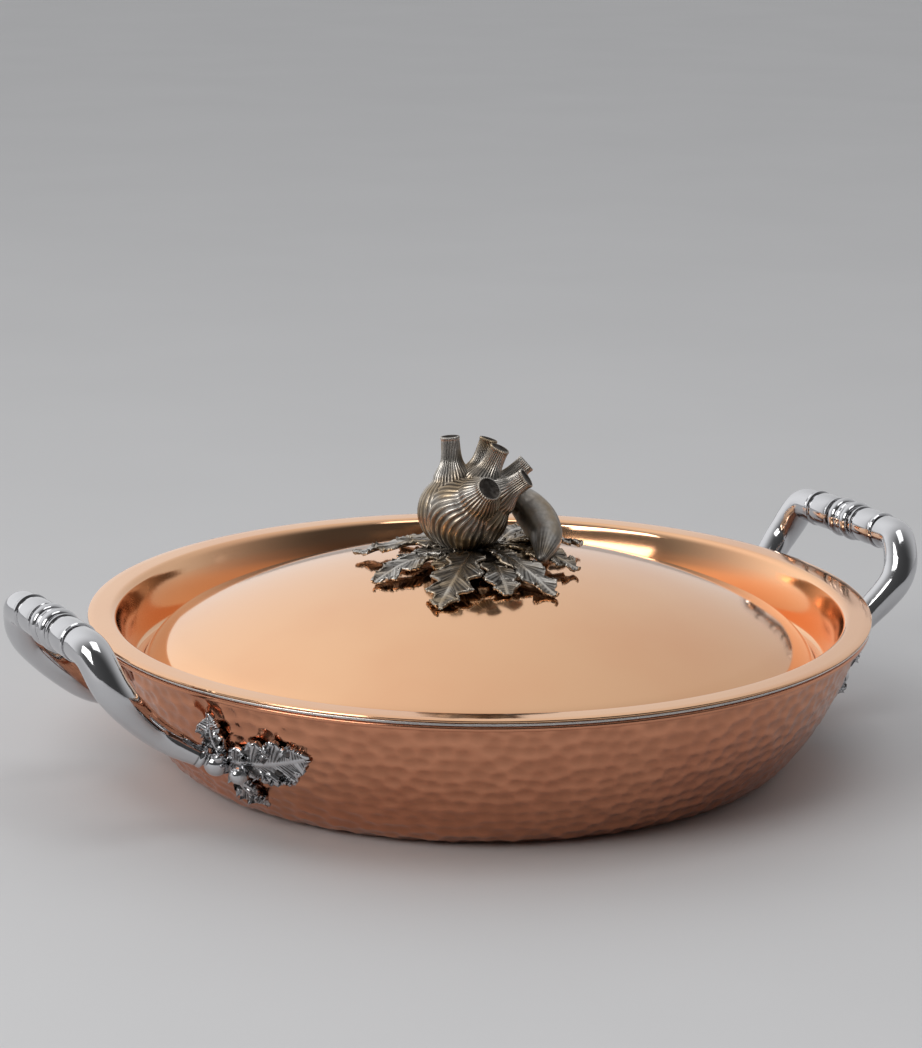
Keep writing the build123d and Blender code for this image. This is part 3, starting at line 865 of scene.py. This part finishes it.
class PAN_OT_handles(bpy.types.Operator):
    """Adds the two bowed handles: turned grips and tapering arms that end in balls."""

    bl_idname = "pan.handles"
    bl_label = "Handles"

    def execute(self, context):
        half = grip_profile()
        closed = [(0.0, -half[-1][1])] + [(r, -z) for r, z in half[::-1]] + half[1:] + [(0.0, half[-1][1])]
        grip = spun(closed, 96)
        rows = points_of(grip) / MM
        radius = np.hypot(rows[:, 0], rows[:, 1])
        # Relief falls where the grip is cut below its barrel radius, so the handle finish paints shade into
        # the grooves and necks.
        put_relief(grip, np.interp(radius - GRIP_RADIUS, [-0.95, -0.45, 0], [0.12, 0.75, 1.0]))
        lay = Matrix.Translation(Vector(GRIP_CENTRE) * MM) @ Matrix.Rotation(pi / 2, 4, "X")
        moved(grip, lay)
        left = moved(copy_of(grip), Matrix.Rotation(pi, 4, "Z"))
        settle(grip, "grip_right", "polished_handle", "pan", ["handle_grip_right"])
        settle(left, "grip_left", "polished_handle", "pan", ["handle_grip_left"])

        arm = make_arm()
        for place, matrix in four_feet().items():
            twin = moved(copy_of(arm), matrix)
            settle(twin, f"arm_{place}", "polished_handle", "pan", [f"handle_arm_{place}"])
        bpy.data.objects.remove(arm)
        return {"FINISHED"}


# Leaves: teeth and fine veins in a lobe, and how deep or high the teeth, ribs, branches and veins are.
LOBE_TEETH = 3
LOBE_VEINS = 8
TOOTH_DEPTH = 0.15
LEAF_SLANT = 0.20
RIB_WIDTH = 0.6
RIB_HEIGHT = 0.75
BRANCH_HEIGHT = 0.45
VEIN_HEIGHT = 0.16


def leaf_form(u, v, length, width, lobes, deep, seed, wave, root=0.16):
    """A lobed, toothed, veined leaf: places along, across and out, and relief, from u along and v across."""
    side = 2 * v - 1
    edge = np.abs(side)
    outline = np.maximum(np.sin(pi * np.clip(u, 0, 1) ** 0.85) ** 0.6, root * (1 - u))
    turn = u * lobes + 0.12 * np.sign(side) + 0.1 * (seed % 3)
    notch = (0.5 + 0.5 * np.cos(FULL_TURN * turn)) ** 1.3
    lobe = 1 - deep * notch * np.clip(u * 5, 0, 1) * np.clip((1 - u) * 6, 0, 1)
    tooth = 1 - TOOTH_DEPTH * (turn * LOBE_TEETH % 1.0) * np.clip((1 - u) * 5, 0, 1)
    slant = LEAF_SLANT * length * edge**1.1 * np.sin(pi * np.clip(u * 0.9 + 0.08, 0, 1))
    along = length * u + slant * (1 - u**6)
    across = side * width / 2 * outline * lobe * tooth
    middle = np.exp(-((across / RIB_WIDTH) ** 2))
    branch = np.abs(np.sin(pi * turn)) ** 12 * np.clip(1 - middle, 0, 1) * np.clip(edge * 3, 0, 1)
    fine = np.abs(np.sin(pi * u * lobes * LOBE_VEINS + 0.6 * np.sign(side)))
    cup = (0.5 + wave * np.sin(FULL_TURN * turn + seed)) * edge**2
    out = RIB_HEIGHT * middle * (1 - 0.6 * u) + BRANCH_HEIGHT * branch + cup
    out = out + VEIN_HEIGHT * (fine - 0.5) * np.clip(edge * 2, 0, 1)
    relief = 0.2 + 0.7 * middle + 0.4 * branch + 0.3 * fine**1.5 + 4 * np.clip(edge - 0.9, 0, 1)
    return along, across, out, np.clip(relief, 0, 1)


def foot_leaf(length, width, turn, lift, seed, lobes, root_angle, root_rise):
    """A leaf that hugs the wall beside the right back foot."""
    middle = radians(FOOT_ANGLE + root_angle)
    radius = wall_at(FOOT_HEIGHT)

    def place(u, v):
        along, across, out, relief = leaf_form(u, v, length, width, lobes, 0.46, seed, wave=0.12)
        sideways = along * cos(turn) - across * sin(turn)
        rise = root_rise + along * sin(turn) + across * cos(turn)
        arch = lift * (0.55 + 0.75 * np.sin(pi * np.clip(u, 0, 1)) - 0.25 * u) + 0.7 * out
        return wall_place(middle + sideways / radius, rise, arch), relief

    return thickened(sheet_of(26, 150, place), 2.0)


def berry_at(angle, rise, out, radius):
    """A smooth round berry off the wall."""
    deselect()
    bpy.ops.mesh.primitive_uv_sphere_add(segments=28, ring_count=18, radius=radius * MM)
    berry = bpy.context.object
    rows = points_of(berry)
    belt = 1 - (rows[:, 2] / (radius * MM)) ** 2
    rows[:, :2] *= (1 + 0.06 * np.sin(3 * np.arctan2(rows[:, 1], rows[:, 0])) * belt)[:, None]
    put_points(berry, rows)
    put_relief(berry, np.full(len(rows), 1.0))
    bpy.ops.object.shade_smooth()
    centre = wall_place(radians(angle), rise, out)
    return moved(berry, Matrix.Translation(Vector(centre) * MM))


class PAN_OT_feet(bpy.types.Operator):
    """Adds the cast leaf sprays and berries where the arms meet the wall."""

    bl_idname = "pan.feet"
    bl_label = "Foot leaves"

    def execute(self, context):
        leaves = [
            foot_leaf(36, 21, radians(13), 2.6, 1, 4, 1.8, 0.5),
            foot_leaf(21, 12, radians(-68), 2.4, 2, 3, 1.4, -1.0),
            foot_leaf(17, 12, radians(94), 2.6, 3, 2, 0.9, 1.5),
        ]
        small = berry_at(FOOT_ANGLE + 1.7, 4.4, 4.6, 1.9)
        spray = joined(leaves + [small])
        out = SPRAY_THICKNESS + BERRY_RADIUS * 0.75
        berry = berry_at(FOOT_ANGLE + BERRY_ANGLE, 0, out, BERRY_RADIUS + BERRY_COVER)
        for place, matrix in four_feet().items():
            twin = moved(copy_of(spray), matrix)
            settle(twin, f"leaf_spray_{place}", "cast_foot", "pan", [f"foot_leaves_{place}"])
            settle(moved(copy_of(berry), matrix), f"berry_{place}", "cast_foot", "pan")
        bpy.data.objects.remove(spray)
        bpy.data.objects.remove(berry)
        return {"FINISHED"}


def turned_by(turn, x, y, z):
    """Places turned round Z, as rows."""
    return np.stack([cos(turn) * x - sin(turn) * y, sin(turn) * x + cos(turn) * y, z], axis=-1)


def on_knob(rows):
    """Places from the knob's own frame, with heights from the dome's top, in the pan's frame."""
    return turned_by(KNOB_TURN, rows[..., 0], rows[..., 1], rows[..., 2] + DOME_TOP)


def dome_drop(radius):
    """How far the dome has fallen at a radius."""
    return DOME_RADIUS - np.sqrt(DOME_RADIUS**2 - np.asarray(radius) ** 2)


# Each leaf: its number, the first ten as in the solids, angle in degrees, root radius, reach, width, root
# height, arch, tip height, lobes.
KNOB_LEAVES = [
    (1, 166, 8.0, 50, 17, 4.0, 3.6, 2.6, 3),
    (2, 216, 13.0, 49, 17, 1.2, 3.6, 1.4, 3),
    (3, 255, 8.0, 58, 21, 4.0, 3.4, 1.2, 4),
    (4, 283, 13.0, 47, 16, 1.2, 3.2, 1.4, 3),
    (5, 303, 9.0, 52, 14, 3.6, 3.6, 1.6, 3),
    (6, 338, 13.0, 40, 16, 1.2, 4.2, 2.2, 3),
    (7, 30, 9.0, 45, 17, 3.6, 4.6, 3.6, 3),
    (8, 62, 13.0, 44, 16, 1.2, 5.2, 4.2, 3),
    (9, 98, 8.0, 46, 17, 4.0, 3.4, 2.2, 3),
    (10, 134, 13.0, 46, 17, 1.2, 3.6, 1.6, 3),
    (11, 318, 2.0, 25, 14, 4.6, 1.4, 3.6, 2),
    (12, 352, 2.0, 24, 14, 4.4, 1.4, 3.4, 2),
    (13, 14, 2.0, 30, 14, 4.2, 2.4, 3.4, 2),
    (14, 236, 8.0, 30, 13, 4.6, 1.6, 3.4, 2),
    (15, 196, 6.0, 32, 14, 4.4, 1.6, 3.2, 2),
]


def knob_leaf(number, angle, root, reach, width, low, arch, tip, lobes):
    """One leaf of the rosette, arched off the dome with curled edges."""
    turn = radians(angle)
    length = reach - root

    def place(u, v):
        along, across, out, relief = leaf_form(u, v, length, width, lobes, 0.50, number, wave=0.8, root=0.3)
        bend = 0.10 * width * sin(number * 2.3) * np.sin(pi * np.clip(along / length, 0, 1))
        across = across + bend
        x = root + along
        radius = np.hypot(x, across)
        share = np.clip(along / length, 0, 1)
        lift = low * (1 - share) ** 1.5 + arch * np.sin(pi * share**0.9) + tip * share**2.2
        height = lift + out - dome_drop(radius)
        return on_knob(turned_by(turn, x, across, height)), relief

    leaf = thickened(sheet_of(24, 140, place), 1.1)
    nodes = [f"knob_leaf_{number:02d}"] if number <= CAD_LEAVES else []
    settle(leaf, f"rosette_leaf_{number:02d}", "aged_silver", "lid", nodes)


BULB = np.array([-6.4, 2.0, 18.9])

# Each sheath of the fennel: middle and radius of its globe, cut end and radius of its stalk, and ribs.
SHEATHS = [
    ((-3.4, 1.0, -1.6), 14.4, (-5.6, 2.5, 27.5), 3.3, 34),
    ((1.0, 3.0, -1.6), 14.2, (9.3, 5.0, 26.2), 3.1, 30),
    ((1.8, 0.6, -1.6), 14.4, (13.6, -1.0, 24.0), 3.5, 30),
    ((3.2, 2.0, -2.0), 13.6, (24.0, 5.2, 16.8), 3.3, 28),
    ((3.2, -1.6, -2.0), 13.8, (23.9, -5.0, 13.2), 3.6, 30),
    ((-0.3, -2.9, -1.8), 14.6, (9.8, -15.2, 11.2), 4.3, 32),
]


# Where along it a sheath passes from globe to stalk and from stalk to cut face, and how far the globe turns.
STALK_START = 0.55
CUT_START = 0.95
GLOBE_TURN = 0.78 * pi


def make_sheath(middle, globe, tip, narrow, ribs, seed):
    """One ribbed sheath: a globe whose ribs gather into a cut stalk with a sunk face."""
    middle, way = np.array(middle), np.array(tip) - np.array(middle)
    reach = np.linalg.norm(way)
    way = way / reach
    tilt = np.arccos(way[2])
    hinge = np.cross((0, 0, 1), way)
    hinge = hinge / np.linalg.norm(hinge)
    neck = narrow * 1.25
    phase = np.random.default_rng(seed).uniform(0, FULL_TURN)
    stops = np.linspace(0, 1, 400)
    rise = -globe + (reach + globe) * stops
    ball = np.sqrt(np.clip(globe**2 - rise**2, 0, None))
    stalk = neck + (narrow - neck) * np.clip((rise - globe * 0.8) / (reach - globe * 0.8), 0, 1)
    flare = 3.4 * np.exp(-(((rise - globe * 0.93) / 4.2) ** 2))
    sharp = np.where(rise > 0, np.maximum(ball, stalk + flare), ball)
    window = np.hanning(43)[1:-1]
    smooth = np.convolve(np.pad(sharp, 20, mode="edge"), window / window.sum(), mode="valid")
    profile = np.where(rise > globe * 0.45, smooth, sharp)
    side = np.cross(hinge, (0, 0, 1))
    axis = np.array([0, 0, 1.0])

    def place(u, v):
        turn = v * FULL_TURN
        first = -globe * cos(GLOBE_TURN)
        straight = first + (reach - first) * (u - STALK_START) / (CUT_START - STALK_START)
        rounded = -globe * np.cos(GLOBE_TURN * u / STALK_START)
        height = np.where(u < STALK_START, rounded, np.minimum(straight, reach))
        cut = np.clip((u - CUT_START) / (1 - CUT_START), 0, 1)
        radius = np.interp(height, rise, profile)
        radius = radius * (1 + 0.07 * np.exp(-(((height - reach + 0.7) / 0.6) ** 2)))
        ridge = np.abs(np.cos(ribs * turn / 2 + phase + 0.16 * np.sin(3 * turn))) ** 3.6
        low = 0.5 + 0.5 * np.cos(5 * turn + phase)
        deep = np.interp(height, [-globe, -globe * 0.8, globe * 0.7, reach], [0.0, 0.42, 0.40, 0.30])
        swells = 0.3 * (low - 0.5) * np.clip(1 - height / globe, 0, 1)
        radius = (radius + (deep * (ridge - 0.4) + swells) * (1 - cut)) * (1 - cut)
        height = height - 0.9 * np.clip(cut * 3, 0, 1)
        bend = tilt * np.clip((height + globe) / (globe * 1.75), 0, 1) ** 1.15
        up = axis * np.cos(bend)[:, None] + side * np.sin(bend)[:, None]
        across = side * np.cos(bend)[:, None] - axis * np.sin(bend)[:, None]
        ring = across * np.cos(turn)[:, None] + hinge * np.sin(turn)[:, None]
        rows = middle + BULB + up * height[:, None] + ring * radius[:, None]
        # A bright line of relief just below each cut end is a painted highlight along the rim. The sunk cut
        # face is drawn dark.
        rim = np.exp(-(((u - 0.945) / 0.008) ** 2))
        relief = (0.36 + 0.6 * ridge + 0.15 * (low - 0.5)) * (1 - cut) + 0.8 * rim
        return on_knob(rows), np.where(u > 0.951, 0.22, relief)

    return sheet_of(224, 130, place, closed=True)


# The long vegetable: places in the knob's frame from its shoulder to its tail, with radii.
MARROW = [
    (10.0, 13.8, 27.5),
    (14.0, 12.5, 21.5),
    (19.0, 10.5, 16.5),
    (23.0, 5.0, 12.5),
    (25.0, -3.0, 9.0),
    (24.5, -13.0, 6.8),
    (23.0, -23.5, 4.8),
]
MARROW_RADII = [1.6, 5.6, 7.2, 6.9, 5.6, 3.7, 1.4]


class PAN_OT_knob(bpy.types.Operator):
    """Adds the knob: rosette of leaves, fennel with cut stalks and the long vegetable."""

    bl_idname = "pan.knob"
    bl_label = "Vegetable knob"

    def execute(self, context):
        for leaf in KNOB_LEAVES:
            knob_leaf(*leaf)
        for number, sheath in enumerate(SHEATHS, 1):
            nodes = ["knob_fennel"] if number == 1 else []
            made = make_sheath(*sheath, 10 + number)
            settle(made, f"fennel_sheath_{number:02d}", "aged_silver", "lid", nodes)

        def radius_at(s, length):
            ends = np.sqrt(np.clip(s / 1.2, 0, 1)) * np.sqrt(np.clip((length - s) / 0.8, 0, 1))
            return eased(MARROW_RADII, s / length) * ends

        def ribs(u, angle):
            wave = 0.5 + 0.5 * np.cos(5 * angle + 0.6)
            streak = np.abs(np.cos(10 * angle + 2 * np.sin(5 * u)))
            tail = np.clip((u - 0.62) / 0.3, 0, 1)
            factor = 1 + 0.03 * (wave - 0.5) + 0.09 * tail * (streak - 0.5)
            return factor, 0.42 + 0.2 * wave - 0.4 * tail * (1 - streak)

        marrow = bar_of(on_knob(np.array(MARROW)), radius_at, 72, 96, ribs)
        settle(marrow, "long_marrow", "aged_silver", "lid", ["knob_marrow"])
        return {"FINISHED"}


class PAN_OT_fittings(bpy.types.Operator):
    """Gives the kept solids their finishes: plate, stud, washer, nut and rivets."""

    bl_idname = "pan.fittings"
    bl_label = "Fittings"

    def execute(self, context):
        for node in ("knob_plate", "knob_stud", "knob_washer", "knob_nut", "arm_rivets", "berry_rivets"):
            # The plate carries no relief, so aged_silver draws it black all over: dark patina, and also
            # painted shade under the bulb.
            finish = "aged_silver" if node == "knob_plate" else "plain_steel"
            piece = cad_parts[node]
            piece.data.materials.clear()
            piece.data.materials.append(finish_of(finish))
        return {"FINISHED"}


def area_lamp(name, place, aim, size, power, colour=(1, 1, 1)):
    """A soft square lamp that looks at a place."""
    deselect()
    bpy.ops.object.light_add(type="AREA", location=place)
    lamp = bpy.context.object
    lamp.name = name
    lamp.data.shape = "RECTANGLE"
    lamp.data.size, lamp.data.size_y = size
    lamp.data.energy = power
    lamp.data.color = colour
    lamp.rotation_euler = (Vector(aim) - Vector(place)).to_track_quat("-Z", "Y").to_euler()


def around(turn_degrees, away, height):
    """A place seen from the camera: 0 is behind the camera, 90 to its right, 180 beyond the pan."""
    turn = CAMERA_TURN + radians(turn_degrees)
    return (away * sin(turn), -away * cos(turn), height)


# The studio's light by direction: a way, where along it the change starts, the strength before and after.
LIGHT_CHANGES = (
    ((sin(-CAMERA_TURN), cos(CAMERA_TURN), 0.1), -0.6, 0.10, 1.04),
    ((cos(CAMERA_TURN), sin(CAMERA_TURN), 0), -0.9, 1.04, 0.60),
)
LIGHT_CHANGE_END = 0.6


class PAN_OT_stage(bpy.types.Operator):
    """Adds the pale floor, the studio world, the lamps and the camera."""

    bl_idname = "pan.stage"
    bl_label = "Stage"

    def execute(self, context):
        deselect()
        bpy.ops.mesh.primitive_plane_add(size=12, location=(0, 0, -0.0002))
        floor = context.object
        floor.name = "floor"
        floor.data.materials.append(finish_of("pale_floor"))

        world = bpy.data.worlds.new("studio")
        context.scene.world = world
        world.use_nodes = True
        tree = world.node_tree
        towards = tree.nodes.new("ShaderNodeTexCoord").outputs["Generated"]
        strength = None
        for way, start, before, after in LIGHT_CHANGES:
            dot = tree.nodes.new("ShaderNodeVectorMath")
            dot.operation = "DOT_PRODUCT"
            dot.inputs[1].default_value = way
            tree.links.new(towards, dot.inputs[0])
            part = tree.nodes.new("ShaderNodeMapRange")
            part.interpolation_type = "SMOOTHSTEP"
            tree.links.new(dot.outputs["Value"], part.inputs[0])
            for port, value in zip(part.inputs[1:5], (start, LIGHT_CHANGE_END, before, after)):
                port.default_value = value
            part = Value(tree, part.outputs[0])
            strength = part if strength is None else strength * part
        back = tree.nodes["Background"]
        back.inputs[0].default_value = SKY
        tree.links.new(strength.socket, back.inputs[1])

        rim = (0, 0, RIM_Z * MM)
        area_lamp("window_left", around(-48, 1.7, 1.05), rim, (1.1, 0.9), 14, LAMP_WARM)
        area_lamp("overhead", around(20, 0.5, 1.9), rim, (1.0, 1.0), 6)

        deselect()
        bpy.ops.object.camera_add()
        camera = context.object
        camera.name = "photo_camera"
        camera.data.sensor_width = FILM
        camera.data.lens = FOCAL_PIXELS * FILM / PHOTO_HEIGHT
        camera.data.shift_x = (PHOTO_WIDTH / 2 - AXIS_X) / PHOTO_HEIGHT
        camera.data.shift_y = (AXIS_Y - PHOTO_HEIGHT / 2) / PHOTO_HEIGHT
        away = CAMERA_AWAY * LID_RADIUS * MM
        level = cos(CAMERA_RAISE)
        back_way = Vector((sin(CAMERA_TURN) * level, -cos(CAMERA_TURN) * level, sin(CAMERA_RAISE)))
        camera.location = Vector(rim) + back_way * away
        look = (-back_way).to_track_quat("-Z", "Y").to_matrix().to_4x4()
        camera.rotation_euler = (look @ Matrix.Rotation(CAMERA_ROLL, 4, "Z")).to_euler()
        camera.data.clip_start = 0.05
        camera.data.clip_end = 60
        context.scene.camera = camera
        context.scene.view_settings.view_transform = "Standard"
        return {"FINISHED"}


class PAN_PT_panel(bpy.types.Panel):
    """Lists the pieces in the sidebar."""

    bl_label = "Serving pan"
    bl_idname = "PAN_PT_panel"
    bl_space_type = "VIEW_3D"
    bl_region_type = "UI"
    bl_category = "Serving pan"

    def draw(self, context):
        column = self.layout.column()
        for name in PanSizes.__annotations__:
            column.prop(context.scene.pan_sizes, name)
        for operator in OPERATORS:
            column.operator(operator.bl_idname)


OPERATORS = [PAN_OT_body, PAN_OT_lid, PAN_OT_handles, PAN_OT_feet, PAN_OT_knob, PAN_OT_fittings, PAN_OT_stage]
CLASSES = [PanSizes, *OPERATORS, PAN_PT_panel]


def register():
    """Adds the classes and the sizes."""
    for made in CLASSES:
        bpy.utils.register_class(made)
    bpy.types.Scene.pan_sizes = PointerProperty(type=PanSizes)


def unregister():
    """Takes them away again."""
    del bpy.types.Scene.pan_sizes
    for made in reversed(CLASSES):
        bpy.utils.unregister_class(made)


def main():
    """Builds the whole scene."""
    register()
    for operator in OPERATORS:
        group, name = operator.bl_idname.split(".")
        getattr(getattr(bpy.ops, group), name)()


if __name__ == "__main__":
    main()
